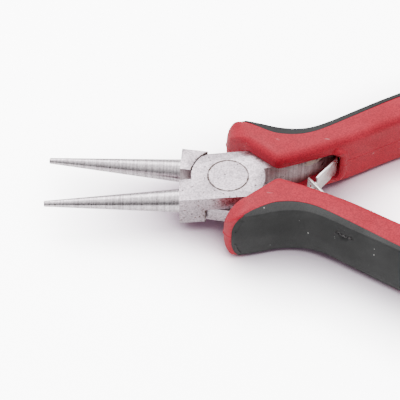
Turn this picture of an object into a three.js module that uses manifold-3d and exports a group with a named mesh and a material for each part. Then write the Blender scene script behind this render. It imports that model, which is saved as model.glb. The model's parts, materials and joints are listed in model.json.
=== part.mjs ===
// Round nose pliers: two identical forgings in a lap joint, a flush rivet, an interlocked pair of
// leaf springs and two-part moulded grips, shown standing open on the springs.
// Millimetres. +X runs from the pivot to the handles, the jaws point to -X, +Z is the pivot's line.
// Every outline is drawn for the upper lever with the jaws closed: its jaw lies at -Y, its handle
// at +Y. The lower lever is the same forging turned over about X.
import * as THREE from 'three';
import { mergeVertices } from 'three/addons/utils/BufferGeometryUtils.js';
import Module from 'manifold-3d';

const wasm = await Module();
wasm.setup();

// Driving dimensions
const OPEN_ANGLE = THREE.MathUtils.degToRad(7.9); // how far each lever stands from closed
const STEEL_HALF = 3.8; // half the thickness of a forging
const LAP_GAP = 0.1; // between the two halves of the lap joint
const DISC_RADIUS = 8.1; // round edge of the lap joint
const SHOULDER_RADIUS = 8.35; // hollow edge that clears the other lever's disc
const RIVET_RADIUS = 4.4; // visible face of the pivot rivet
const RIVET_SHANK = 2.8;
const RUNNING_GAP = 0.1; // around the pivot rivet
const JAW_BASE = new THREE.Vector2(-11, -2.87); // middle of a cone where it leaves the block
const JAW_TIP = new THREE.Vector2(-40.6, -0.76);
const JAW_BASE_RADIUS = 2.58;
const JAW_TIP_RADIUS = 0.65;
const GRIP_HALF = 7.2; // half the thickness of a grip
const GRIP_ROUND = 1.7; // how far the edge rounding reaches in from the outline
const GRIP_ROUND_DEPTH = 2.0; // and down from the flat face
const HEAD_ROUND = 4.6; // rounding of the head, seen from the side
const CAVITY_GAP = 0.12; // between a grip and the tang in it
const INLAY_GAP = 0.2; // between a grip and its soft inlay
const INLAY_START = 3.6; // front and back ends of the inlay along X
const INLAY_END = 78;
const WINDOW_END = 25.7; // where the window in the grip's inner side ends
const WINDOW_CORNER = 1.6;
const LEAF_THICKNESS = 0.45;
const LEAF_HALF_WIDTH = 2.5;
const LEAF_BEND = new THREE.Vector2(24.7, 3.75); // where the blade leaves the riser
const LEAF_ANGLE = THREE.MathUtils.degToRad(-135); // direction of the blade
const LEAF_LENGTH = 10.45; // blade, from the bend to its free end
const TONGUE_START = 7.4; // along the blade
const TONGUE_HALF_WIDTH = 0.8;
const SLOT_START = 6.9;
const SLOT_END = 9.95;
const SLOT_HALF_WIDTH = 1.1;
const SEAT_START = new THREE.Vector2(24.2, 7.3); // the tang's flat that the leaf is riveted to
const SEAT_END = new THREE.Vector2(31, 9.4);
const SPRING_RIVET_PLACE = 2.1; // along that flat
const SPRING_RIVET_SHANK = 0.6;
const SPRING_RIVET_HEAD = 1.0;
const FOOT_OFFSET = 0.8; // middle of the leaf's foot, below the flat

const steel = new THREE.MeshStandardMaterial({ color: 0xb9b1b4, roughness: 0.42, metalness: 0.9 });
const rivetSteel = new THREE.MeshStandardMaterial({ color: 0xbcb5b7, roughness: 0.4, metalness: 0.9 });
const springSteel = new THREE.MeshStandardMaterial({ color: 0xcfcac9, roughness: 0.28, metalness: 1 });
const redPlastic = new THREE.MeshStandardMaterial({ color: 0xc23f49, roughness: 0.55, metalness: 0 });
const darkRubber = new THREE.MeshStandardMaterial({ color: 0x3c3e40, roughness: 0.8, metalness: 0 });

// A closed three.js geometry as a solid for joining and cutting.
function solid(geometry) {
  const bare = geometry.index ? geometry.toNonIndexed() : geometry.clone();
  bare.deleteAttribute('normal');
  bare.deleteAttribute('uv');
  const merged = mergeVertices(bare, 1e-5);
  const mesh = new wasm.Mesh({
    numProp: 3,
    vertProperties: new Float32Array(merged.attributes.position.array),
    triVerts: new Uint32Array(merged.index.array),
  });
  return new wasm.Manifold(mesh);
}

// A solid as a named three.js mesh.
function piece(name, body, material) {
  const { vertProperties, triVerts } = body.getMesh();
  const geometry = new THREE.BufferGeometry();
  geometry.setAttribute('position', new THREE.BufferAttribute(vertProperties, 3));
  geometry.setIndex(new THREE.BufferAttribute(triVerts, 1));
  geometry.computeVertexNormals();
  const mesh = new THREE.Mesh(geometry, material);
  mesh.name = name;
  return mesh;
}

function point(x, y) {
  return new THREE.Vector2(x, y);
}

// Points of an arc from one angle to another, in degrees.
function arc(x, y, radius, from, to, steps) {
  const points = [];
  for (let i = 0; i <= steps; i += 1) {
    const angle = THREE.MathUtils.degToRad(from + ((to - from) * i) / steps);
    points.push(point(x + radius * Math.cos(angle), y + radius * Math.sin(angle)));
  }
  return points;
}

function smooth(points, steps) {
  return new THREE.SplineCurve(points).getPoints(steps);
}

// A plan outline given thickness, from one height to another.
function slab(outline, low, high) {
  const settings = { depth: high - low, bevelEnabled: false };
  const geometry = new THREE.ExtrudeGeometry(new THREE.Shape(outline), settings);
  return solid(geometry.translate(0, 0, low));
}

// A side outline in X and Z, carried across from low to high Y.
function sidewaysSlab(outline, low, high) {
  const settings = { depth: high - low, bevelEnabled: false };
  const geometry = new THREE.ExtrudeGeometry(new THREE.Shape(outline), settings);
  return solid(geometry.rotateX(Math.PI / 2).translate(0, high, 0));
}

// A turned solid about Z, from its profile of radius and height.
function turned(profile, sides) {
  const points = profile.map(([radius, height]) => point(radius, height));
  return solid(new THREE.LatheGeometry(points, sides).rotateX(Math.PI / 2));
}

// A turned solid laid in the plane of the tool, its axis running from one point towards another.
function turnedAlong(profile, sides, from, towards) {
  const points = profile.map(([radius, height]) => point(radius, height));
  const geometry = new THREE.LatheGeometry(points, sides);
  const angle = towards.clone().sub(from).angle();
  geometry.rotateZ(angle - Math.PI / 2).translate(from.x, from.y, 0);
  return solid(geometry);
}

// Outline of the tang, from the joint's notch round its end and back to the joint's flat.
function tangOutline(grow) {
  const inner = [
    point(8.2, 1.24 - grow),
    point(9.9, 1.5 - grow),
    point(16.9, 3.0 - grow),
    point(19.1, 4.3 - grow),
    point(22.4, 5.9 - grow),
    SEAT_START.clone().add(point(0, -grow)),
    SEAT_END.clone().add(point(0, -grow)),
  ];
  const innerRun = smooth([point(31, 9.4 - grow), point(40, 12.6 - grow), point(55, 16.8 - grow),
    point(66, 18.4 - grow), point(75, 18.8 - grow)], 10).slice(1);
  const end = arc(75, 19.9, 1.1 + grow, -60, 60, 4);
  const outer = smooth([point(75, 21 + grow), point(66, 20.9 + grow), point(55, 19.5 + grow),
    point(40, 15.2 + grow), point(31, 11.5 + grow), point(26, 9.7 + grow), point(20, 7.5 + grow),
    point(15, 6.8 + grow), point(10, 6.9 + grow), point(5.4, 6.8 + grow)], 24);
  return [...inner, ...innerRun, ...end, ...outer];
}

// Cone of the jaw, with a root that runs into the block.
function jawCone() {
  const length = JAW_TIP.distanceTo(JAW_BASE);
  const root = 2;
  const rim = 0.12;
  const profile = [
    [0, -root],
    [JAW_BASE_RADIUS, -root],
    [JAW_BASE_RADIUS, 0],
    [JAW_TIP_RADIUS, length - rim],
    [JAW_TIP_RADIUS - rim, length],
    [0, length],
  ];
  return turnedAlong(profile, 32, JAW_BASE, JAW_TIP);
}

// One forging: cone, jaw block, half of the lap joint, and the tang inside the grip.
function lever() {
  const joint = [
    point(-10.8, -0.18),
    point(-11.35, -6.1),
    ...arc(0, 0, DISC_RADIUS, -52.6, 8.6, 14),
    ...tangOutline(0),
    point(-3.5, 6.78),
    ...arc(0, 0, DISC_RADIUS, 130.8, 181.3, 12),
  ];
  const lapRelief = turned([[0, -5], [SHOULDER_RADIUS, -5], [SHOULDER_RADIUS, LAP_GAP / 2],
    [0, LAP_GAP / 2]], 64);
  const flare = STEEL_HALF - 2.2;
  const holeRadius = RIVET_SHANK + RUNNING_GAP;
  const past = 0.4;
  const mouth = [holeRadius + flare + past, STEEL_HALF + past];
  const rivetHole = turned([[0, -mouth[1]], [mouth[0], -mouth[1]], [holeRadius, -2.2],
    [holeRadius, 2.2], mouth, [0, mouth[1]]], 40);
  return slab(joint, -STEEL_HALF, STEEL_HALF)
    .subtract(lapRelief)
    .add(jawCone())
    .subtract(rivetHole)
    .subtract(springRivetHole());
}

// The rivet that is the hinge: a shank with two countersunk heads, ground flush.
function pivotRivet() {
  const profile = [[0, -STEEL_HALF], [RIVET_RADIUS, -STEEL_HALF], [RIVET_SHANK, -2.2],
    [RIVET_SHANK, 2.2], [RIVET_RADIUS, STEEL_HALF], [0, STEEL_HALF]];
  return turned(profile, 40);
}

// Plan outline of a grip: round head, long outer side, round end, inner side, inner corner.
function gripOutline() {
  const head = arc(3.15, 12.1, 2.1, 227, 69, 9);
  const outer = smooth([point(3.9, 14.06), point(6, 13.3), point(9, 12.1), point(12, 10.8),
    point(15, 10), point(18, 9.75), point(21, 10.25), point(25, 11.65), point(29, 13.35),
    point(39, 17.35), point(47, 20.25), point(56, 22.75), point(66, 24.3), point(75, 24.75),
    point(82, 24.2)], 40).slice(1, -1);
  const end = arc(82.2, 19.6, 4.7, 88, -82, 12);
  const inner = smooth([point(82.8, 14.9), point(75, 15.3), point(66, 15.35), point(56, 14.15),
    point(47, 12), point(39, 9.35), point(29, 5.45), point(24, 3.85), point(20, 2.7),
    point(16, 1.75), point(12.2, 0.9)], 28).slice(1, -1);
  const corner = arc(11.62, 2.8, 2, 283, 223, 5);
  return [...head, ...outer, ...end, ...inner, ...corner];
}

// Side outline of a grip, with a rounder head than its long edges.
function gripSideOutline() {
  const front = 1.04 + HEAD_ROUND;
  const rise = GRIP_HALF - HEAD_ROUND;
  return [
    point(90, -GRIP_HALF - 1),
    point(90, GRIP_HALF + 1),
    point(front, GRIP_HALF + 1),
    ...arc(front, rise, HEAD_ROUND, 90, 180, 6),
    ...arc(front, -rise, HEAD_ROUND, 180, 270, 6),
    point(front, -GRIP_HALF - 1),
  ];
}

function gripSolid() {
  const settings = {
    depth: 2 * (GRIP_HALF - GRIP_ROUND_DEPTH),
    bevelEnabled: true,
    bevelThickness: GRIP_ROUND_DEPTH,
    bevelSize: GRIP_ROUND,
    bevelOffset: -GRIP_ROUND,
    bevelSegments: 3,
  };
  const outline = gripOutline().reverse();
  const geometry = new THREE.ExtrudeGeometry(new THREE.Shape(outline), settings);
  return solid(geometry.translate(0, 0, GRIP_ROUND_DEPTH - GRIP_HALF))
    .intersect(sidewaysSlab(gripSideOutline(), -5, 40));
}

// Space of the soft inlay along the grip's outer side; shrink pulls every border in.
function inlaySpace(shrink) {
  const border = smooth([point(1, 17), point(4, 14.3), point(6.9, 11.7), point(10.7, 8.95),
    point(13.7, 7.95), point(16.8, 7.65), point(20, 8.1), point(23.4, 9.3), point(27.8, 11.2),
    point(32.3, 13.2), point(39, 16.15), point(47, 19.1), point(56, 21.55), point(66, 22.9),
    point(75, 23.1), point(84, 22.2)], 40).map((p) => point(p.x, p.y + shrink));
  const plan = slab([...border, point(84, 34), point(1, 34)], -10, 10);
  const endHeight = 9;
  const endLength = 6;
  const front = INLAY_START + shrink + endLength;
  const back = INLAY_END - shrink - endLength;
  const profile = [
    ...arc(0, 0, 1, 90, 270, 16).map((p) => point(front + endLength * p.x, endHeight * p.y)),
    ...arc(0, 0, 1, -90, 90, 16).map((p) => point(back + endLength * p.x, endHeight * p.y)),
  ];
  return plan.intersect(sidewaysSlab(profile, 0, 40));
}

// The window in the grip's inner side that bares the tang and lets the leaf spring out.
function gripWindow() {
  const half = STEEL_HALF + CAVITY_GAP;
  const corner = WINDOW_END - WINDOW_CORNER;
  const profile = [
    point(4, -half),
    ...arc(corner, WINDOW_CORNER - half, WINDOW_CORNER, -90, 0, 4),
    ...arc(corner, half - WINDOW_CORNER, WINDOW_CORNER, 0, 90, 4),
    point(4, half),
  ];
  const underTang = [point(4, -2), point(30, -2), point(30, 9.5), point(24, 7.8), point(20, 6),
    point(16, 4.5), point(4, 4.5)];
  return sidewaysSlab(profile, -3, 12).intersect(slab(underTang, -10, 10));
}

// Room inside the grip for the leaf's foot and its rivet.
function footRoom() {
  return slab([point(24.5, 4.4), point(28.6, 5.8), point(28.6, 9.2), point(24.5, 8)], -2.9, 2.9);
}

function gripBody() {
  const half = STEEL_HALF + CAVITY_GAP;
  const neck = [point(4, 6.8 + CAVITY_GAP), point(4, 1)];
  return gripSolid()
    .subtract(slab([...tangOutline(CAVITY_GAP), ...neck], -half, half))
    .subtract(gripWindow())
    .subtract(footRoom())
    .subtract(inlaySpace(0));
}

function gripInlay() {
  return gripSolid().intersect(inlaySpace(INLAY_GAP));
}

// Where the leaf is riveted, and the direction from the tang out through the rivet's head.
function springRivetFrame() {
  const along = SEAT_END.clone().sub(SEAT_START).normalize();
  const out = point(along.y, -along.x);
  const seat = SEAT_START.clone().addScaledVector(along, SPRING_RIVET_PLACE);
  const middle = seat.clone().addScaledVector(out, FOOT_OFFSET);
  return { along, out, seat, middle };
}

function springRivet() {
  const { out, seat } = springRivetFrame();
  const headStart = FOOT_OFFSET + 0.55;
  const headEnd = headStart + 0.5;
  const profile = [[0, -1.4], [SPRING_RIVET_SHANK, -1.4], [SPRING_RIVET_SHANK, headStart],
    [SPRING_RIVET_HEAD, headStart], [SPRING_RIVET_HEAD - 0.2, headEnd], [0, headEnd]];
  return turnedAlong(profile, 16, seat, seat.clone().add(out));
}

function springRivetHole() {
  const { out, seat } = springRivetFrame();
  const radius = SPRING_RIVET_SHANK + 0.1;
  return turnedAlong([[0, -1.6], [radius, -1.6], [radius, 1], [0, 1]], 16, seat, seat.clone().add(out));
}

// A strip of even thickness that follows a bent line.
function ribbon(line, thickness) {
  const left = [];
  const right = [];
  line.forEach((p, i) => {
    const before = line[Math.max(i - 1, 0)];
    const after = line[Math.min(i + 1, line.length - 1)];
    const inward = p === before ? after.clone().sub(p).normalize() : p.clone().sub(before).normalize();
    const outward = p === after ? inward.clone() : after.clone().sub(p).normalize();
    const normal = point(-inward.y - outward.y, inward.x + outward.x).normalize();
    const reach = thickness / 2 / normal.dot(point(-inward.y, inward.x));
    left.push(p.clone().addScaledVector(normal, reach));
    right.unshift(p.clone().addScaledVector(normal, -reach));
  });
  return [...right, ...left];
}

// A block around the blade from one length along it to another, between two heights.
function bladeBlock(from, to, low, high) {
  const direction = point(Math.cos(LEAF_ANGLE), Math.sin(LEAF_ANGLE));
  const start = LEAF_BEND.clone().addScaledVector(direction, from);
  const end = LEAF_BEND.clone().addScaledVector(direction, to);
  return slab(ribbon([start, end], 2), low, high);
}

// A leaf spring: foot on the tang, riser out of the grip, and a slanting blade.
function leafBlank() {
  const { along, out, seat, middle } = springRivetFrame();
  const direction = point(Math.cos(LEAF_ANGLE), Math.sin(LEAF_ANGLE));
  const line = [
    middle.clone().addScaledVector(along, 1.3),
    middle.clone().addScaledVector(along, -1),
    LEAF_BEND.clone(),
    LEAF_BEND.clone().addScaledVector(direction, LEAF_LENGTH),
  ];
  const hole = turnedAlong([[0, 0.2], [0.8, 0.2], [0.8, 1.5], [0, 1.5]], 16, seat, seat.clone().add(out));
  return slab(ribbon(line, LEAF_THICKNESS), -LEAF_HALF_WIDTH, LEAF_HALF_WIDTH).subtract(hole);
}

function tongueLeaf() {
  const past = LEAF_LENGTH + 1;
  const above = bladeBlock(TONGUE_START, past, TONGUE_HALF_WIDTH, 4);
  const below = bladeBlock(TONGUE_START, past, -4, -TONGUE_HALF_WIDTH);
  return leafBlank().subtract(above).subtract(below);
}

function slottedLeaf() {
  return leafBlank().subtract(bladeBlock(SLOT_START, SLOT_END, -SLOT_HALF_WIDTH, SLOT_HALF_WIDTH));
}

// One lever with all that is fixed to it, opened from its closed place.
function side(names, leaf) {
  const opened = new THREE.Group();
  opened.add(
    piece(names.lever, lever(), steel),
    piece(names.body, gripBody(), redPlastic),
    piece(names.inlay, gripInlay(), darkRubber),
    piece(names.rivet, springRivet(), rivetSteel),
    piece(names.leaf, leaf, springSteel),
  );
  opened.rotation.z = OPEN_ANGLE;
  return opened;
}

const upperSide = side({
  lever: 'front_lever',
  body: 'far_grip_body',
  inlay: 'far_grip_inlay',
  rivet: 'far_spring_rivet',
  leaf: 'tongue_leaf_spring',
}, tongueLeaf());

const lowerSide = new THREE.Group();
lowerSide.add(side({
  lever: 'back_lever',
  body: 'near_grip_body',
  inlay: 'near_grip_inlay',
  rivet: 'near_spring_rivet',
  leaf: 'slotted_leaf_spring',
}, slottedLeaf()));
lowerSide.rotation.x = Math.PI;

// The tool lies on its grips, with the origin under the middle of its bounding box.
const group = new THREE.Group();
group.add(upperSide, lowerSide, piece('pivot_rivet', pivotRivet(), rivetSteel));
const middle = new THREE.Box3().setFromObject(group, true).getCenter(new THREE.Vector3());
group.position.set(-middle.x, -middle.y, GRIP_HALF);

export default group;
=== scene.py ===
import json
import math

import bpy
from mathutils import Matrix, Vector

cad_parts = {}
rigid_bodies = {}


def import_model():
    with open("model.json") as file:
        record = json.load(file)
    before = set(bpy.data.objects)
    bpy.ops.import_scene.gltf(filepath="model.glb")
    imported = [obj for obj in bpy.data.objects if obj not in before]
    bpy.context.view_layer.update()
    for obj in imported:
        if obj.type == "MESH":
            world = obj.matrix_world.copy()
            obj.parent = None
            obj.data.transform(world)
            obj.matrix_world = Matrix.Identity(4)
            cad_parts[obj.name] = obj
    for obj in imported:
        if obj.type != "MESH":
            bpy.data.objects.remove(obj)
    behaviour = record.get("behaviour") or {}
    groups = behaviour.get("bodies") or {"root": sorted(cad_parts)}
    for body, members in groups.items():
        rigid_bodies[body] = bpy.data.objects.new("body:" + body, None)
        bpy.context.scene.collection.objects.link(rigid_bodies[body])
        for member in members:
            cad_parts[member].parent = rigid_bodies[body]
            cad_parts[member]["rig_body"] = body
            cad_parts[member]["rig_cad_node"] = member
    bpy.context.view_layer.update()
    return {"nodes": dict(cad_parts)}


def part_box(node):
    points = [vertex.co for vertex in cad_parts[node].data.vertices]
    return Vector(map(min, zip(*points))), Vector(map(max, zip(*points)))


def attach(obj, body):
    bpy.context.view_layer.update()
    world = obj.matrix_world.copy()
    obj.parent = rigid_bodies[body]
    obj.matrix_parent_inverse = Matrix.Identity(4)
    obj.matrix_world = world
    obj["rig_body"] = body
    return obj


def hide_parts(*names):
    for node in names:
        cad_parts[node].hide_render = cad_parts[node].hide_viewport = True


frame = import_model()

# ---------------------------------------------------------------------------------------------
# The two levers. Each is one steel forging: tapered round jaw, jaw block, half of the lap joint
# and the tang in the grip. The flats are ground satin, the jaws are ground round, so fine rings
# run across them, and the milled sides keep cutter marks, small pits and a little rust. Painted
# shade darkens the hairlines round the rivet and the joint's shoulder, the disc's rim and the notch.
# ---------------------------------------------------------------------------------------------
MM = 0.001
OPEN_ANGLE = math.radians(7.9)
rivet_low, rivet_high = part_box("pivot_rivet")
PIVOT = (rivet_low + rivet_high) / 2


def in_place(side):
    """Carries a piece drawn for the closed far lever, with the pivot at the origin, to its side."""
    opened = Matrix.Rotation(OPEN_ANGLE, 4, "Z")
    over = Matrix.Rotation(math.pi, 4, "X") if side == "near" else Matrix.Identity(4)
    return Matrix.Translation(PIVOT) @ over @ opened


def only(piece):
    """Makes one object the selected and active one."""
    bpy.ops.object.select_all(action="DESELECT")
    piece.select_set(True)
    bpy.context.view_layer.objects.active = piece


def apply_all(piece):
    only(piece)
    for modifier in list(piece.modifiers):
        bpy.ops.object.modifier_apply(modifier=modifier.name)


def add_node(material, kind, **values):
    """Adds a shader node; names of inputs use _ for a space."""
    made = material.node_tree.nodes.new(kind)
    for name, value in values.items():
        socket = name.replace("_", " ").strip()
        if socket in made.inputs:
            made.inputs[socket].default_value = value
        else:
            setattr(made, name, value)
    return made


def link(material, source, output, target, socket):
    material.node_tree.links.new(source.outputs[output], target.inputs[socket])


def ramp(material, source, stops, output="Fac"):
    """A colour ramp fed by a node: stops are (position, grey or colour)."""
    made = material.node_tree.nodes.new("ShaderNodeValToRGB")
    elements = made.color_ramp.elements
    while len(elements) < len(stops):
        elements.new(0.5)
    for element, (position, colour) in zip(elements, stops):
        if not isinstance(colour, tuple):
            colour = (colour, colour, colour)
        element.position = position
        element.color = (*colour, 1)
    material.node_tree.links.new(source.outputs[output], made.inputs["Fac"])
    return made


def mix(material, factor, low, high, blend="MIX"):
    """Mixes two colours by a ramp or a number; a colour is a node or a tuple."""
    made = material.node_tree.nodes.new("ShaderNodeMix")
    made.data_type = "RGBA"
    made.blend_type = blend
    if isinstance(factor, float):
        made.inputs["Factor"].default_value = factor
    else:
        material.node_tree.links.new(factor.outputs[0], made.inputs["Factor"])
    for socket, colour in ((6, low), (7, high)):
        if isinstance(colour, tuple):
            made.inputs[socket].default_value = (*colour, 1)
        else:
            output = 2 if colour.bl_idname == "ShaderNodeMix" else 0
            material.node_tree.links.new(colour.outputs[output], made.inputs[socket])
    return made


def noise(material, scale, detail=3.0, stretch=(1, 1, 1), turn=0.0, roughness=0.55):
    """Noise on the piece's own coordinates; scale is in grains per metre."""
    place = add_node(material, "ShaderNodeTexCoord")
    mapping = add_node(material, "ShaderNodeMapping")
    mapping.inputs["Scale"].default_value = stretch
    mapping.inputs["Rotation"].default_value = (0, 0, turn)
    link(material, place, "Object", mapping, "Vector")
    made = add_node(material, "ShaderNodeTexNoise", Scale=scale, Detail=detail, Roughness=roughness)
    link(material, mapping, "Vector", made, "Vector")
    return made


def bump(material, layers):
    """Stacks bump nodes: each layer is (height node, output, strength, depth in mm)."""
    below = None
    for source, output, strength, depth in layers:
        made = add_node(material, "ShaderNodeBump", Strength=strength, Distance=depth * MM)
        link(material, source, output, made, "Height")
        if below is not None:
            link(material, below, "Normal", made, "Normal")
        below = made
    shader = material.node_tree.nodes["Principled BSDF"]
    link(material, below, "Normal", shader, "Normal")


def new_material(name, roughness, metallic):
    material = bpy.data.materials.new(name)
    material.use_nodes = True
    shader = material.node_tree.nodes["Principled BSDF"]
    shader.inputs["Roughness"].default_value = roughness
    shader.inputs["Metallic"].default_value = metallic
    return material, shader


def facing_up(material):
    """How level a face lies: 1 on a flat top or underside, 0 on an upright side."""
    normal = add_node(material, "ShaderNodeNewGeometry")
    split = add_node(material, "ShaderNodeSeparateXYZ")
    link(material, normal, "True Normal", split, "Vector")
    level = add_node(material, "ShaderNodeMath", operation="ABSOLUTE")
    link(material, split, "Z", level, "Value")
    return level


def distance_from(material, middle, reach, turn=0.0):
    """Distance from a place, as a share of the reach along each turned axis, in mm."""
    place = add_node(material, "ShaderNodeTexCoord")
    mapping = add_node(material, "ShaderNodeMapping", vector_type="TEXTURE")
    mapping.inputs["Location"].default_value = middle
    mapping.inputs["Rotation"].default_value = (0, 0, turn)
    mapping.inputs["Scale"].default_value = [length * MM for length in reach]
    link(material, place, "Object", mapping, "Vector")
    length = add_node(material, "ShaderNodeVectorMath", operation="LENGTH")
    link(material, mapping, "Vector", length, "Vector")
    return length


def height_share(material):
    """Height above the floor, as a share of the tool's thickness."""
    place = add_node(material, "ShaderNodeTexCoord")
    split = add_node(material, "ShaderNodeSeparateXYZ")
    link(material, place, "Object", split, "Vector")
    height = add_node(material, "ShaderNodeMath", operation="DIVIDE")
    height.inputs[1].default_value = 2 * PIVOT.z
    link(material, split, "Z", height, "Value")
    return height


def ring_of_painted_shade(material, tone, radius, width, strength, mask=None):
    """Paints shade along a hairline of that radius round the pivot, in mm: a gap's shade, made patchy.
    """
    reach = 10.0
    inner, outer = (radius - width / 2) / reach, (radius + width / 2) / reach
    edge = 0.05 / reach
    line = ramp(material, distance_from(material, PIVOT, (reach, reach, 1e9)), [
        (inner - edge, 0.0), (inner, strength), (outer, strength), (outer + edge, 0.0)], "Value")
    patchy = ramp(material, noise(material, 900, 2), [(0.35, 0.45), (0.55, 1.0)])
    line = mix(material, 1.0, line, patchy, "MULTIPLY")
    if mask is not None:
        line = mix(material, 1.0, line, mask, "MULTIPLY")
    spread = ramp(material, line, [(0.0, 0.0), (1.0, 1.0)], 2)
    return mix(material, spread, tone, (0.07, 0.05, 0.035))


def ground_steel(name, pale, dark, rust, rings=()):
    """Satin ground steel: fine grain, dark pits, rust on upright faces, and painted shade in rings round
    the pivot.
    """
    material, shader = new_material(name, 0.4, 1.0)
    clouds = ramp(material, noise(material, 190, 4), [(0.3, dark), (0.7, pale)])
    grain = ramp(material, noise(material, 2300, 2, (1, 1, 1), 0, 0.7), [(0.4, 0.6), (0.6, 1.0)])
    tone = mix(material, 1.0, clouds, grain, "MULTIPLY")
    sides = ramp(material, facing_up(material), [(0.3, 1.0), (0.5, 0.0)], "Value")
    pits = ramp(material, noise(material, 1250, 1), [(0.70, 0.0), (0.735, 0.9)])
    tone = mix(material, pits, tone, (0.07, 0.05, 0.05))
    stain = ramp(material, noise(material, 230, 2), [(0.46, 0.25), (0.58, rust)])
    crust = ramp(material, noise(material, 1500, 2), [(0.6, 0.0), (0.66, 1.0)])
    stain = mix(material, 1.0, stain, crust, "MULTIPLY")
    where = mix(material, 1.0, sides, stain, "MULTIPLY")
    spread = ramp(material, where, [(0.0, 0.0), (1.0, 1.0)], 2)
    tone = mix(material, spread, tone, (0.13, 0.06, 0.045))
    # Each ring is painted shade along a hairline gap round the pivot, on the lower or upper half as
    # given.
    for radius, width, strength, below, above in rings:
        mask = ramp(material, height_share(material), [(0.49, below), (0.51, above)], "Value")
        tone = ring_of_painted_shade(material, tone, radius, width, strength, mask)
    link(material, tone, 2, shader, "Base Color")
    dull = ramp(material, noise(material, 900, 4), [(0.3, 0.3), (0.75, 0.46)])
    link(material, dull, "Color", shader, "Roughness")
    bump(material, [
        (noise(material, 3600, 3), "Fac", 0.3, 0.02),
        (pits, "Color", 0.5, -0.05),
    ])
    return material


def ringed_steel(name, turn):
    """Steel ground round: rings of fine lines across the jaw, whose line is turned from X."""
    material, shader = new_material(name, 0.29, 1.0)
    lines = noise(material, 1, 2, (3000, 40, 40), turn)
    bands = ramp(material, lines, [(0.36, (0.66, 0.585, 0.625)), (0.62, (0.94, 0.86, 0.9))])
    wide = ramp(material, noise(material, 1, 2, (260, 20, 20), turn), [(0.3, 0.93), (0.7, 1.0)])
    tone = mix(material, 1.0, bands, wide, "MULTIPLY")
    grain = ramp(material, noise(material, 2400, 2), [(0.4, 0.72), (0.6, 1.0)])
    tone = mix(material, 1.0, tone, grain, "MULTIPLY")
    pits = ramp(material, noise(material, 1100, 1), [(0.73, 0.0), (0.76, 0.85)])
    tone = mix(material, pits, tone, (0.1, 0.05, 0.04))
    link(material, tone, 2, shader, "Base Color")
    bump(material, [(lines, "Fac", 0.35, 0.02), (pits, "Color", 0.4, -0.04)])
    return material


def eased_copy(node, name, width):
    """A copy of a CAD node with its loose triangles merged and its sharp edges eased."""
    bpy.ops.object.select_all(action="DESELECT")
    source = frame["nodes"][node]
    piece = source.copy()
    piece.data = source.data.copy()
    piece.parent = None
    piece.name = name
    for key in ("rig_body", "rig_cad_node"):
        del piece[key]
    bpy.context.scene.collection.objects.link(piece)
    only(piece)
    bpy.ops.object.mode_set(mode="EDIT")
    bpy.ops.mesh.select_all(action="SELECT")
    bpy.ops.mesh.remove_doubles(threshold=0.002 * MM)
    bpy.ops.mesh.dissolve_limited(angle_limit=math.radians(0.5))
    bpy.ops.object.mode_set(mode="OBJECT")
    edge = piece.modifiers.new("eased_edges", "BEVEL")
    edge.width = width * MM
    edge.segments = 2
    edge.limit_method = "ANGLE"
    edge.angle_limit = math.radians(35)
    apply_all(piece)
    only(piece)
    bpy.ops.object.shade_smooth_by_angle(angle=math.radians(28))
    piece.data.materials.clear()
    return piece


def milled_steel(name, scraped):
    """The unpolished sides: darker, brownish, with upright cutter marks, rust and a pale scrape."""
    material, shader = new_material(name, 0.42, 1.0)
    marks = ramp(material, noise(material, 1, 2, (2600, 2600, 60)), [
        (0.35, (0.42, 0.345, 0.355)), (0.65, (0.62, 0.535, 0.55))])
    grain = ramp(material, noise(material, 2600, 3), [(0.35, 0.75), (0.65, 1.0)])
    tone = mix(material, 1.0, marks, grain, "MULTIPLY")
    stain = ramp(material, noise(material, 520, 4), [(0.62, 0.0), (0.67, 0.9)])
    tone = mix(material, stain, tone, (0.07, 0.035, 0.03))
    if scraped:
        middle = in_place("far") @ (Vector(SCRAPE_PLACE) * MM)
        near = distance_from(material, middle, SCRAPE_REACH, SCRAPE_TURN)
        scrape = ramp(material, near, [(0.8, 1.0), (0.95, 0.0)], "Value")
        ragged = ramp(material, noise(material, 700, 3), [(0.36, 0.0), (0.44, 1.0)])
        scrape = mix(material, 1.0, scrape, ragged, "MULTIPLY")
        spread = ramp(material, scrape, [(0.0, 0.0), (1.0, 1.0)], 2)
        tone = mix(material, spread, tone, (0.74, 0.66, 0.56))
        bare = ramp(material, scrape, [(0.0, 1.0), (1.0, 0.1)], 2)
        link(material, bare, "Color", shader, "Metallic")
    link(material, tone, 2, shader, "Base Color")
    bump(material, [(noise(material, 1, 2, (2600, 2600, 60)), "Fac", 0.4, 0.03)])
    return material


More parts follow.
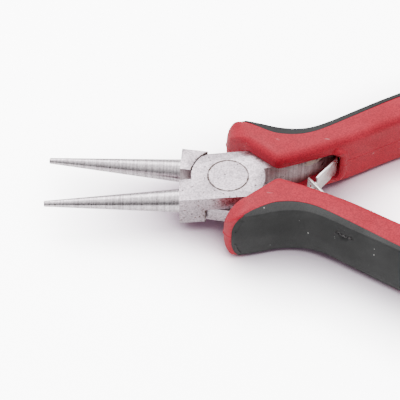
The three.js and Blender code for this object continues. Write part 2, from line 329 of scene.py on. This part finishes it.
SCRAPE_PLACE = (20.1, 4.6, 3.4)
SCRAPE_REACH = (3.9, 9.0, 3.6)
SCRAPE_TURN = OPEN_ANGLE + math.radians(12)
RIVET_RADIUS = 4.4
SHOULDER_RADIUS = 8.35
DISC_RADIUS = 8.1
JAW_TURN = math.radians(4.08)
JAW_ROOT = -11.36
for side, node in (("far", "front_lever"), ("near", "back_lever")):
    lever = eased_copy(node, side + "_lever_forging", 0.12)
    # Rings of painted shade: the joint's shoulder on the half that shows, and the hairline round the
    # rivet.
    shoulder = (SHOULDER_RADIUS, 0.26, 0.95) + ((1.0, 0.0) if side == "far" else (0.0, 1.0))
    rivet_line = (RIVET_RADIUS + 0.1, 0.2, 0.9, 1.0, 1.0)
    lever.data.materials.append(ground_steel(
        side + "_ground_steel", (0.76, 0.655, 0.715), (0.61, 0.525, 0.575), 0.9,
        (shoulder, rivet_line)))
    turn = OPEN_ANGLE - JAW_TURN if side == "far" else JAW_TURN - OPEN_ANGLE
    lever.data.materials.append(ringed_steel(side + "_jaw_steel", -turn))
    lever.data.materials.append(milled_steel(side + "_milled_steel", side == "far"))
    to_closed = in_place(side).inverted()
    for face in lever.data.polygons:
        place = to_closed @ face.center / MM
        facing = to_closed.to_3x3() @ face.normal
        upright = abs(facing.z) < 0.3
        # The disc's rim wall and the jaw block's mating face take the darker milled steel: their own
        # finish, and painted shade in the hollow and the notch.
        rim = upright and place.x > -6 and abs(place.to_2d().length - DISC_RADIUS) < 0.12
        mating = upright and facing.y > 0.9 and place.x < -8
        if place.x < JAW_ROOT:
            face.material_index = 1
        elif rim or mating or (upright and place.x > 8.2):
            face.material_index = 2
    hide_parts(node)
    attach(lever, side + "_handle")

# ---------------------------------------------------------------------------------------------
# The pivot rivet: a steel pin whose two countersunk heads are ground flush with the joint, so it
# shows as a disc inside a hairline. Its face keeps faint scuffs from grinding, and a painted shade
# darkens its edge along the hairline.
# ---------------------------------------------------------------------------------------------
rivet = frame["nodes"]["pivot_rivet"]
rivet.data.materials.clear()
# A ring of painted shade darkens the rivet's edge along the hairline gap.
rivet.data.materials.append(ground_steel(
    "rivet_steel", (0.74, 0.635, 0.695), (0.58, 0.5, 0.55), 0.2,
    ((RIVET_RADIUS, 0.3, 0.95, 1.0, 1.0),)))

# ---------------------------------------------------------------------------------------------
# The pair of leaf springs: flat strips of bright spring steel, bent once where they leave the
# grips. The far one ends in a tongue that hooks through a slot in the near one. Each is held by
# one small rivet on its tang.
# ---------------------------------------------------------------------------------------------


def spring_steel(name):
    """Bright rolled strip: fine lines along it and a few dull patches."""
    material, shader = new_material(name, 0.26, 1.0)
    lines = noise(material, 1, 3, (300, 300, 6500))
    tone = ramp(material, lines, [(0.3, (0.74, 0.71, 0.71)), (0.7, (0.9, 0.875, 0.87))])
    patches = ramp(material, noise(material, 420, 4), [(0.3, 0.8), (0.6, 1.0)])
    mixed = mix(material, 1.0, tone, patches, "MULTIPLY")
    link(material, mixed, 2, shader, "Base Color")
    dull = ramp(material, noise(material, 600, 4), [(0.35, 0.26), (0.7, 0.42)])
    link(material, dull, "Color", shader, "Roughness")
    bump(material, [(lines, "Fac", 0.2, 0.01)])
    return material


STRIP_STEEL = spring_steel("spring_steel")
for side, kind in (("far", "tongue"), ("near", "slotted")):
    leaf = eased_copy(kind + "_leaf_spring", kind + "_spring_strip", 0.07)
    leaf.data.materials.append(STRIP_STEEL)
    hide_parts(kind + "_leaf_spring")
    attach(leaf, kind + "_leaf")
    holder = eased_copy(side + "_spring_rivet", side + "_strip_rivet", 0.08)
    holder.data.materials.append(STRIP_STEEL)
    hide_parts(side + "_spring_rivet")
    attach(holder, side + "_handle")

# ---------------------------------------------------------------------------------------------
# The red grips: one moulding of hard satin plastic round each tang, with a round head, soft
# edges, a window that bares the spring, and a faint parting line round the middle.
# ---------------------------------------------------------------------------------------------
GRIP_HALF = 7.2
GRIP_EDGE = 1.85
HEAD_START = 1.04
HEAD_ROUND = 5.8
TANG_HALF = 3.92
WINDOW_END = 25.7
GRIP_VOXEL = 0.32


def curve_through(points, steps):
    """A smooth run through points, as a list of steps + 1 places."""
    run = []
    last = len(points) - 1
    for step in range(steps + 1):
        along = last * step / steps
        index = min(int(along), last - 1)
        t = along - index
        before, here = points[max(index - 1, 0)], points[index]
        there, after = points[index + 1], points[min(index + 2, last)]
        place = []
        for axis in (0, 1):
            leave = (there[axis] - before[axis]) / 2
            arrive = (after[axis] - here[axis]) / 2
            gap = here[axis] - there[axis]
            place.append(((2 * gap + leave + arrive) * t - 3 * gap - 2 * leave - arrive) * t * t
                         + leave * t + here[axis])
        run.append(tuple(place))
    return run


def arc(x, y, radius, start, end, steps):
    run = []
    for step in range(steps + 1):
        angle = math.radians(start + (end - start) * step / steps)
        run.append((x + radius * math.cos(angle), y + radius * math.sin(angle)))
    return run


def height_on(run, x):
    """The second coordinate of a run at a first coordinate that grows along it."""
    for (x0, y0), (x1, y1) in zip(run, run[1:]):
        if x0 <= x <= x1:
            return y0 + (y1 - y0) * (x - x0) / (x1 - x0)
    return run[-1][1] if x > run[-1][0] else run[0][1]


OUTER_SIDE = curve_through([
    (3.9, 14.06), (6, 13.3), (9, 12.1), (12, 10.8), (15, 10), (18, 9.75), (21, 10.25),
    (25, 11.65), (29, 13.35), (39, 17.35), (47, 20.25), (56, 22.75), (66, 24.3), (75, 24.75),
    (82, 24.2)], 70)
INNER_SIDE = curve_through([
    (82.8, 14.9), (75, 15.3), (66, 15.35), (56, 14.15), (47, 12), (39, 9.35), (29, 5.45),
    (24, 3.85), (20, 2.7), (16, 1.75), (12.2, 0.9)], 56)
PAD_BORDER = curve_through([
    (1, 17), (4, 14.3), (6.9, 11.7), (10.7, 8.95), (13.7, 7.95), (16.8, 7.65), (20, 8.1),
    (23.4, 9.3), (27.8, 11.2), (32.3, 13.2), (39, 16.15), (47, 19.1), (56, 21.55), (66, 22.9),
    (75, 23.1), (84, 22.2)], 80)
PAD_NOSE = (5.4, 2.4, 6.3)
PAD_BACK = (72.0, 6.0, 9.0)


def slab(name, outline, low, high):
    """A flat piece of that outline between two heights, in mm: a disc reshaped and extruded."""
    bpy.ops.object.select_all(action="DESELECT")
    bpy.ops.mesh.primitive_circle_add(vertices=len(outline), radius=MM, fill_type="NGON")
    piece = bpy.context.object
    piece.name = name
    for vertex, (x, y) in zip(piece.data.vertices, outline):
        vertex.co = (x * MM, y * MM, low * MM)
    bpy.ops.object.mode_set(mode="EDIT")
    bpy.ops.mesh.select_all(action="SELECT")
    bpy.ops.mesh.extrude_region_move(TRANSFORM_OT_translate={"value": (0, 0, (high - low) * MM)})
    bpy.ops.mesh.select_all(action="SELECT")
    bpy.ops.mesh.normals_make_consistent(inside=False)
    bpy.ops.object.mode_set(mode="OBJECT")
    return piece


def side_slab(name, outline, low, high):
    """A slab whose outline is in X and Z, carried across in Y."""
    piece = slab(name, outline, -high, -low)
    piece.data.transform(Matrix.Rotation(math.pi / 2, 4, "X"))
    return piece


def shape_with(piece, tool, operation):
    """Joins, cuts or keeps the common part with a tool, which is used up."""
    step = piece.modifiers.new("step", "BOOLEAN")
    step.operation = operation
    step.solver = "EXACT"
    step.object = tool
    apply_all(piece)
    bpy.data.objects.remove(tool)


def grip_outline():
    head = arc(3.15, 12.1, 2.1, 227, 69, 16)
    end = arc(82.2, 19.6, 4.7, 88, -82, 24)
    corner = arc(11.62, 2.8, 2, 283, 223, 8)
    return head + OUTER_SIDE[1:-1] + end + INNER_SIDE[1:-1] + corner


def round_rims(piece, half, width, segments):
    """Rounds the upper and lower rims of a slab."""
    bpy.ops.object.mode_set(mode="EDIT")
    bpy.ops.mesh.select_mode(type="EDGE")
    bpy.ops.mesh.select_all(action="DESELECT")
    bpy.ops.object.mode_set(mode="OBJECT")
    for edge in piece.data.edges:
        ends = [piece.data.vertices[index].co.z / MM for index in edge.vertices]
        edge.select = abs(ends[0] - ends[1]) < 0.01 and abs(abs(ends[0]) - half) < 0.01
    bpy.ops.object.mode_set(mode="EDIT")
    bpy.ops.mesh.bevel(offset=width * MM, segments=segments, affect="EDGES", clamp_overlap=False)
    bpy.ops.object.mode_set(mode="OBJECT")


def bead(name, run, y, radius):
    """A round bead through places in X and Z, at heights y of its own."""
    curve = bpy.data.curves.new(name, "CURVE")
    curve.dimensions = "3D"
    line = curve.splines.new("POLY")
    line.points.add(len(run) - 1)
    for point, (x, z), depth in zip(line.points, run, y):
        point.co = (x * MM, depth * MM, z * MM, 1)
    curve.bevel_depth = radius * MM
    curve.bevel_resolution = 4
    curve.use_fill_caps = True
    piece = bpy.data.objects.new(name, curve)
    bpy.context.scene.collection.objects.link(piece)
    only(piece)
    bpy.ops.object.convert(target="MESH")
    return bpy.context.object


def grip_form():
    """The outside of a grip as one soft moulded form, in the closed place of the far side."""
    form = slab("grip_form", grip_outline(), -GRIP_HALF, GRIP_HALF)
    round_rims(form, GRIP_HALF, GRIP_EDGE, 5)
    front = HEAD_START + HEAD_ROUND
    rise = GRIP_HALF - HEAD_ROUND
    profile = [(90, -9), (90, 9), (front, 9)]
    profile += arc(front, rise, HEAD_ROUND, 90, 180, 14)
    profile += arc(front, -rise, HEAD_ROUND, 180, 270, 14)
    profile += [(front, -9)]
    shape_with(form, side_slab("head_profile", profile, -5, 40), "INTERSECT")
    lip = [(23.2, 4.0), (24.2, 4.15)] + arc(24.9, 2.6, 1.55, 80, 0, 5)
    sink = [1.1, 0.35] + [-0.4] * 6
    lip += [(x, -z) for x, z in reversed(lip)]
    sink += sink[::-1]
    depths = [height_on(INNER_SIDE[::-1], x) + deep for (x, z), deep in zip(lip, sink)]
    shape_with(form, bead("window_lip", lip, depths, 0.85), "UNION")
    nub = bead("flash_nub", [(0.95, 0.05), (1.6, 0.0)], [12.9, 12.9], 0.42)
    shape_with(form, nub, "UNION")
    skin = form.modifiers.new("skin", "REMESH")
    skin.mode = "VOXEL"
    skin.voxel_size = GRIP_VOXEL * MM
    melt = form.modifiers.new("melt", "SMOOTH")
    melt.factor = 0.5
    melt.iterations = 5
    apply_all(form)
    return form


def tang_room():
    """The hollow that the tang fills, from the joint's notch to the back."""
    back = curve_through([(31, 9.28), (40, 12.48), (55, 16.68), (66, 18.28), (75, 18.68)], 20)[1:]
    front = curve_through([(75, 21.12), (66, 21.02), (55, 19.62), (40, 15.32), (31, 11.62),
                           (26, 9.82), (20, 7.62), (15, 6.92), (10, 7.02), (5.4, 6.92)], 36)
    inner = [(8.2, 1.12), (9.9, 1.38), (16.9, 2.88), (19.1, 4.18), (22.4, 5.78), (24.2, 7.18),
             (31, 9.28)]
    return inner + back + arc(75, 19.9, 1.22, -60, 60, 6) + front + [(1, 6.92), (1, 1)]


def pad_room():
    """The pocket for the soft pad, open to the outer side, with a rounded nose at the head."""
    middle, length, height = PAD_BACK
    back = [(middle + length * x, height * z) for x, z in arc(0, 0, 1, 270, 450, 40)]
    room = slab("pad_room", PAD_BORDER + [(84, 34), (1, 34)], -10, 10)
    shape_with(room, side_slab("pad_back", back + [(-5, 9), (-5, -9)], 0, 40), "INTERSECT")
    middle, length, height = PAD_NOSE
    nose = [(middle + length * x, height * z) for x, z in arc(0, 0, 1, 90, 270, 40)]
    nose_tool = side_slab("pad_nose", nose + [(7, -height), (7, height)], 12.4, 40)
    shape_with(room, nose_tool, "UNION")
    return room


def window():
    corner = WINDOW_END - 1.6
    profile = [(4, -TANG_HALF)] + arc(corner, 1.6 - TANG_HALF, 1.6, -90, 0, 8)
    profile += arc(corner, TANG_HALF - 1.6, 1.6, 0, 90, 8) + [(4, TANG_HALF)]
    opening = side_slab("window", profile, -3, 12)
    under = [(4, -2), (30, -2), (30, 9.5), (24, 7.8), (20, 6), (16, 4.5), (4, 4.5)]
    shape_with(opening, slab("under_tang", under, -10, 10), "INTERSECT")
    return opening


def red_plastic(name):
    """Hard red plastic: fine moulded grain, cloudy tone, pale scuffs and a few dark specks."""
    material, shader = new_material(name, 0.5, 0.0)
    shader.inputs["Specular IOR Level"].default_value = 0.22
    clouds = ramp(material, noise(material, 120, 3), [
        (0.3, (0.48, 0.018, 0.039)), (0.7, (0.56, 0.026, 0.053))])
    grain = noise(material, 3300, 2)
    speckle = ramp(material, grain, [(0.38, 0.7), (0.62, 1.0)])
    tone = mix(material, 1.0, clouds, speckle, "MULTIPLY")
    scratches = noise(material, 520, 4, (0.35, 1.6, 1.6), 0.9)
    scuffs = ramp(material, scratches, [(0.70, 0.0), (0.76, 0.55)])
    tone = mix(material, scuffs, tone, (0.66, 0.27, 0.29))
    dots = ramp(material, noise(material, 1500, 1), [(0.77, 0.0), (0.8, 0.7)])
    tone = mix(material, dots, tone, (0.2, 0.03, 0.035))
    link(material, tone, 2, shader, "Base Color")
    dull = ramp(material, noise(material, 260, 3), [(0.3, 0.42), (0.7, 0.56)])
    link(material, dull, "Color", shader, "Roughness")
    bump(material, [(grain, "Fac", 0.8, 0.04), (scuffs, "Color", 0.3, -0.03)])
    return material


form = grip_form()
bpy.ops.object.mode_set(mode="EDIT")
for height in (-0.16, 0.0, 0.16):
    bpy.ops.mesh.select_all(action="SELECT")
    bpy.ops.mesh.bisect(plane_co=(0, 0, height * MM), plane_no=(0, 0, 1))
bpy.ops.object.mode_set(mode="OBJECT")
ridge = [vertex.index for vertex in form.data.vertices if abs(vertex.co.z) < 0.01 * MM]
outwards = [form.data.vertices[index].normal.copy() for index in ridge]
for index, outward in zip(ridge, outwards):
    form.data.vertices[index].co += outward * 0.09 * MM
shape_with(form, slab("tang_room", tang_room(), -TANG_HALF, TANG_HALF), "DIFFERENCE")
shape_with(form, window(), "DIFFERENCE")
foot_room = slab("foot_room", [(24.5, 4.4), (28.6, 5.8), (28.6, 9.2), (24.5, 8)], -2.9, 2.9)
shape_with(form, foot_room, "DIFFERENCE")
shape_with(form, pad_room(), "DIFFERENCE")
only(form)
bpy.ops.object.shade_smooth_by_angle(angle=math.radians(32))
form.data.materials.clear()
form.data.materials.append(red_plastic("red_plastic"))


def put_on_sides(model, ending, node_ending, mirrored=False):
    """Copies a finished piece, drawn in the closed place of the far side, to both sides.

    A mirrored one keeps its upper side up on the near grip, which is otherwise turned over.
    """
    for side in ("far", "near"):
        copy = model.copy()
        copy.data = model.data.copy()
        copy.name = side + ending
        bpy.context.scene.collection.objects.link(copy)
        if mirrored and side == "near":
            copy.data.transform(Matrix.Scale(-1, 4, Vector((0, 0, 1))))
            copy.data.flip_normals()
        copy.data.transform(in_place(side))
        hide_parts(side + node_ending)
        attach(copy, side + "_handle")
    bpy.data.objects.remove(model)


put_on_sides(form, "_grip_moulding", "_grip_body")

# ---------------------------------------------------------------------------------------------
# The soft pads: a black rubber skin moulded flush into the outer side of each grip, with a flat
# chamfer along its edges, wider below, and a side barely crowned. The near one has been nicked.
# ---------------------------------------------------------------------------------------------
PAD_GAP = 0.07
PAD_THICKNESS = 1.1
PAD_CROWN = 0.1
UPPER_DROP = [(3, 0.55), (12, 0.45), (28, 0.38), (36, 0.18), (78, 0.18)]
LOWER_DROP = [(3, 1.0), (16, 1.1), (26, 2.4), (70, 2.2), (78, 1.5)]
PAD_OUTER = arc(3.15, 12.1, 2.1, 120, 69, 6) + OUTER_SIDE[1:] + [(86, 23.2)]


def pad_section(x):
    """Places across the pad at one station, from its upper border to its lower one."""
    outer = height_on(PAD_OUTER, x)
    border = min(height_on(PAD_BORDER, x) + PAD_GAP, outer - 0.05)
    share = min((outer - border) / 1.2, 1)
    middle, length, height = PAD_NOSE if x < 40 else PAD_BACK
    past = (middle - PAD_GAP - x if x < 40 else x - middle + PAD_GAP) / length
    limit = height * math.sqrt(1 - min(past, 1) ** 2) if past > 0 else GRIP_HALF
    halves = []
    for drops in (UPPER_DROP, LOWER_DROP):
        drop = height_on(drops, x)
        crease = GRIP_HALF - 0.05 - drop
        half = [(border, crease + drop * share), (outer - 0.2 * share, crease + 0.08 * share)]
        half.append((outer - 0.03 * share, crease - 0.03))
        for z in (crease - 0.2, crease - 0.7, crease - 1.6, crease / 2, crease / 4):
            half.append((outer + PAD_CROWN * (1 - (z / crease) ** 2), z))
        halves.append(half)
    section = halves[0] + [(outer + PAD_CROWN, 0)] + [(y, -z) for y, z in reversed(halves[1])]
    return [(y, max(-limit, min(limit, z))) for y, z in section]


def run_in(start, length, steps):
    """Stations that crowd towards a rounded end."""
    return [start + length * (1 - math.cos(step * math.pi / 2 / steps)) for step in range(steps + 1)]


front, back = PAD_NOSE[0] - PAD_NOSE[1] + PAD_GAP, PAD_BACK[0] + PAD_BACK[1] - PAD_GAP
stations = run_in(front, PAD_NOSE[1], 14)
stations += [6 + (71.5 - 6) * step / 74 for step in range(75)]
stations += run_in(back, -PAD_BACK[1], 14)[::-1]
across = len(pad_section(stations[20]))
bpy.ops.object.select_all(action="DESELECT")
bpy.ops.mesh.primitive_grid_add(x_subdivisions=len(stations) - 1, y_subdivisions=across - 1, size=MM)
pad = bpy.context.object
pad.name = "pad"
rows = sorted({round(vertex.co.y, 8) for vertex in pad.data.vertices})
columns = sorted({round(vertex.co.x, 8) for vertex in pad.data.vertices})
for vertex in pad.data.vertices:
    x = stations[columns.index(round(vertex.co.x, 8))]
    y, z = pad_section(x)[rows.index(round(vertex.co.y, 8))]
    vertex.co = (x * MM, y * MM, z * MM)
bpy.ops.object.mode_set(mode="EDIT")
bpy.ops.mesh.select_all(action="SELECT")
bpy.ops.mesh.remove_doubles(threshold=0.01 * MM)
bpy.ops.mesh.normals_make_consistent(inside=False)
bpy.ops.object.mode_set(mode="OBJECT")
middle_face = min(pad.data.polygons, key=lambda face: (face.center - Vector((0.04, 0.018, 0))).length)
if middle_face.normal.y < 0:
    pad.data.flip_normals()
wall = pad.modifiers.new("wall", "SOLIDIFY")
wall.thickness = PAD_THICKNESS * MM
wall.offset = -1
apply_all(pad)
only(pad)
bpy.ops.object.shade_smooth_by_angle(angle=math.radians(24))


def black_rubber(name, chamfer_wear_and_light):
    """Soft black rubber: matt, streaked where it flowed in the mould, dusty, paler on the chamfer as
    wear and painted light, and lighter towards the bottom as painted light bounced from the floor.
    """
    material, shader = new_material(name, 0.62, 0.0)
    streaks = ramp(material, noise(material, 70, 5, (0.5, 2.5, 3.0), -0.3), [
        (0.3, (0.03, 0.03, 0.031)), (0.7, (0.05, 0.05, 0.051))])
    grain = noise(material, 3800, 2)
    speckle = ramp(material, grain, [(0.35, 0.6), (0.65, 1.0)])
    # The chamfer faces, which face up, take a tone of their own: partly wear, partly painted light where
    # light falls on them.
    slope = ramp(material, facing_up(material), [(0.35, 0.0), (0.5, 0.75)], "Value")
    tone = mix(material, slope, streaks, (chamfer_wear_and_light, chamfer_wear_and_light, chamfer_wear_and_light))
    # Painted light bounced from the floor: the side is darker towards the top and lighter towards the
    # bottom, apart from the chamfer.
    painted_floor_bounce = ramp(material, height_share(material), [(0.15, 1.0), (0.5, 0.38), (0.9, 0.26)], "Value")
    painted_floor_bounce = mix(material, slope, painted_floor_bounce, (1.0, 1.0, 1.0))
    tone = mix(material, 1.0, tone, painted_floor_bounce, "MULTIPLY")
    tone = mix(material, 1.0, tone, speckle, "MULTIPLY")
    dust = ramp(material, noise(material, 900, 1), [(0.775, 0.0), (0.8, 0.8)])
    tone = mix(material, dust, tone, (0.42, 0.41, 0.4))
    link(material, tone, 2, shader, "Base Color")
    dull = ramp(material, noise(material, 150, 4), [(0.3, 0.55), (0.7, 0.72)])
    link(material, dull, "Color", shader, "Roughness")
    bump(material, [(grain, "Fac", 0.4, 0.02)])
    return material


NICK = [(25.0, -3.95), (25.7, -3.75), (26.4, -3.62), (27.2, -3.65), (27.9, -3.85), (28.6, -4.15)]
pad.data.materials.clear()
put_on_sides(pad, "_grip_pad", "_grip_inlay", mirrored=True)
# The chamfer tone for each side: partly wear, partly painted light.
for side, chamfer_wear_and_light in (("far", 0.012), ("near", 0.045)):
    bpy.data.objects[side + "_grip_pad"].data.materials.append(
        black_rubber(side + "_black_rubber", chamfer_wear_and_light))
cutter = bead("nick", NICK, [height_on(PAD_OUTER, x) + 0.05 for x, z in NICK], 0.4)
cutter.data.transform(in_place("near"))
near_pad = bpy.data.objects["near_grip_pad"]
shape_with(near_pad, cutter, "DIFFERENCE")
# The upward faces of the nick's lower lip get a paler grey: torn rubber with a painted highlight where
# light falls into the groove.
torn_lip_highlight = bpy.data.materials.new("torn_lip_painted_highlight")
torn_lip_highlight.use_nodes = True
torn_lip_highlight.node_tree.nodes["Principled BSDF"].inputs["Roughness"].default_value = 0.8
torn_lip_highlight_shades = ramp(torn_lip_highlight, noise(torn_lip_highlight, 2500, 2), [(0.4, (0.02, 0.018, 0.019)), (0.6, (0.17, 0.16, 0.165))])
link(torn_lip_highlight, torn_lip_highlight_shades, "Color", torn_lip_highlight.node_tree.nodes["Principled BSDF"], "Base Color")
near_pad.data.materials.append(torn_lip_highlight)
# Picks the upward faces inside the nick, which carry the painted highlight.
from_near = in_place("near").inverted()
for face in near_pad.data.polygons:
    x, y, z = from_near @ face.center / MM
    if NICK[0][0] - 0.4 < x < NICK[-1][0] + 0.4 and -4.6 < z < -3.1 and face.area < 3e-7:
        inside = y < height_on(PAD_OUTER, x) - 0.02
        if inside and y > height_on(PAD_OUTER, x) - 0.6 and face.normal.z > 0.3:
            face.material_index = 1

# ---------------------------------------------------------------------------------------------
# The floor, the light and the camera. Two plain sheets lie one on the other: the camera sees the
# white one, with a shade where the tool rests, and the other throws light back at the tool.
# ---------------------------------------------------------------------------------------------
SHADE_REACH = 0.02


def sheet_of_paper(name, height, white, seen):
    """A large plain sheet; one is what the camera sees, the other is what lights the tool."""
    bpy.ops.object.select_all(action="DESELECT")
    bpy.ops.mesh.primitive_plane_add(size=4, location=(0, 0, height))
    sheet = bpy.context.object
    sheet.name = name
    paper = bpy.data.materials.new(name)
    paper.use_nodes = True
    nodes = paper.node_tree.nodes
    nodes.remove(nodes["Principled BSDF"])
    matt = nodes.new("ShaderNodeBsdfDiffuse")
    matt.inputs["Color"].default_value = (white, white, white, 1)
    if seen:
        shade = nodes.new("ShaderNodeAmbientOcclusion")
        shade.samples = 24
        shade.inputs["Distance"].default_value = SHADE_REACH
        tint = nodes.new("ShaderNodeValToRGB")
        stops = ((0.3, (0.06, 0.04, 0.055)), (0.6, (0.33, 0.3, 0.33)),
                 (0.88, (0.8, 0.79, 0.8)), (1, (1, 1, 1)))
        while len(tint.color_ramp.elements) < len(stops):
            tint.color_ramp.elements.new(0.5)
        for element, (position, colour) in zip(tint.color_ramp.elements, stops):
            element.position = position
            element.color = (*[white * part for part in colour], 1)
        paper.node_tree.links.new(shade.outputs["AO"], tint.inputs["Fac"])
        paper.node_tree.links.new(tint.outputs["Color"], matt.inputs["Color"])
    paper.node_tree.links.new(matt.outputs[0], nodes["Material Output"].inputs["Surface"])
    sheet.data.materials.append(paper)
    sheet.visible_camera = seen
    sheet.visible_diffuse = not seen
    sheet.visible_glossy = not seen
    sheet.visible_shadow = not seen


sheet_of_paper("floor_as_seen", 0.0, 5.5, True)
sheet_of_paper("floor_as_light", -0.0001, 1.1, False)

world = bpy.data.worlds.new("studio")
world.use_nodes = True
nodes = world.node_tree.nodes
direction = nodes.new("ShaderNodeTexCoord")
split = nodes.new("ShaderNodeSeparateXYZ")
world.node_tree.links.new(direction.outputs["Generated"], split.inputs["Vector"])
layers = []
SKY = {
    "Z": ((0.0, 0.45), (0.55, 0.75), (0.95, 1.9)),
    "Y": ((0.07, 0.04), (0.2, 0.75), (0.8, 1.0)),
}
for axis, stops in SKY.items():
    layer = nodes.new("ShaderNodeValToRGB")
    layer.color_ramp.elements.new(0.5)
    for element, (position, grey) in zip(layer.color_ramp.elements, stops):
        element.position = position
        element.color = (grey, grey, grey, 1)
    layers.append(layer)
world.node_tree.links.new(split.outputs["Z"], layers[0].inputs["Fac"])
half = nodes.new("ShaderNodeMath")
half.operation = "MULTIPLY_ADD"
half.inputs[1].default_value = 0.5
half.inputs[2].default_value = 0.5
world.node_tree.links.new(split.outputs["Y"], half.inputs[0])
world.node_tree.links.new(half.outputs[0], layers[1].inputs["Fac"])
room = nodes.new("ShaderNodeMix")
room.data_type = "RGBA"
room.blend_type = "MULTIPLY"
room.inputs["Factor"].default_value = 1.0
world.node_tree.links.new(layers[0].outputs["Color"], room.inputs[6])
world.node_tree.links.new(layers[1].outputs["Color"], room.inputs[7])
world.node_tree.links.new(room.outputs[2], nodes["Background"].inputs["Color"])
nodes["Background"].inputs["Strength"].default_value = 1.35
bpy.context.scene.world = world


def soft_light(name, place, size, power, reflected):
    data = bpy.data.lights.new(name, "AREA")
    data.size = size
    data.energy = power
    lamp = bpy.data.objects.new(name, data)
    lamp.location = place
    lamp.rotation_euler = (-Vector(place)).to_track_quat("-Z", "Y").to_euler()
    lamp.visible_glossy = reflected
    bpy.context.scene.collection.objects.link(lamp)


soft_light("back_softbox", (-0.2, 0.4, 0.55), 0.5, 3, True)
soft_light("front_fill", (-0.12, -0.5, 0.12), 0.4, 0.8, False)

CAMERA_AZIMUTH = math.radians(2.057)
CAMERA_ELEVATION = math.radians(49.454)
CAMERA_DISTANCE = 0.32353
CAMERA_RIGHT = 0.00617
CAMERA_UP = 0.00289
sin_a, cos_a = math.sin(CAMERA_AZIMUTH), math.cos(CAMERA_AZIMUTH)
sin_e, cos_e = math.sin(CAMERA_ELEVATION), math.cos(CAMERA_ELEVATION)
back = Vector((sin_a * cos_e, -cos_a * cos_e, sin_e))
right = Vector((cos_a, sin_a, 0))
up = back.cross(right)
camera_data = bpy.data.cameras.new("camera")
camera_data.lens = 131.85
camera = bpy.data.objects.new("camera", camera_data)
camera.location = PIVOT + back * CAMERA_DISTANCE - right * CAMERA_RIGHT - up * CAMERA_UP
camera.rotation_euler = Matrix((right, up, back)).transposed().to_euler()
bpy.context.scene.collection.objects.link(camera)
bpy.context.scene.camera = camera
